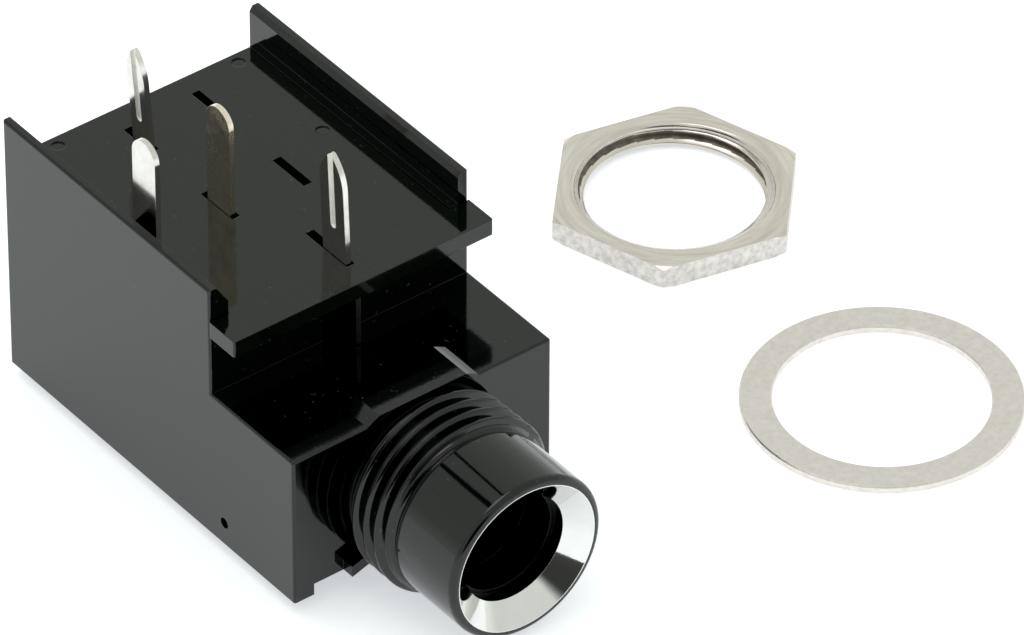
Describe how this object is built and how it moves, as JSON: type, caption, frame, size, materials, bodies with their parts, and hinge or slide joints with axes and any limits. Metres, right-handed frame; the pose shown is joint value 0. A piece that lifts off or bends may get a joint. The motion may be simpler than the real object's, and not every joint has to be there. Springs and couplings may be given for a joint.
{
  "type": "jack socket",
  "caption": "Enclosed quarter-inch jack socket for a circuit board and a front panel, with its hex nut and flat washer beside it.",
  "frame": {"origin": "on the plug's axis, where the threaded barrel leaves the front face of the housing", "axes": "+X along the plug's axis out of the nose, +Z towards the solder pins, +Y to the far side"},
  "size_m": [0.0417, 0.0487, 0.0241],
  "materials": {
    "black_plastic": "moulded gloss",
    "chrome": "polished",
    "tinned_brass": "bright tin plate",
    "nickel_brass": "bright nickel plate",
    "nickel_steel": "satin nickel plate"
  },
  "bodies": {
    "root": {"housing": "black_plastic", "base_plate": "black_plastic", "nose_ring": "chrome", "sleeve_contact": "tinned_brass", "tip_contact": "tinned_brass", "ring_contact": "tinned_brass", "tip_switch_contact": "tinned_brass", "hex_nut": "nickel_brass", "flat_washer": "nickel_steel"}
  },
  "joints": []
}
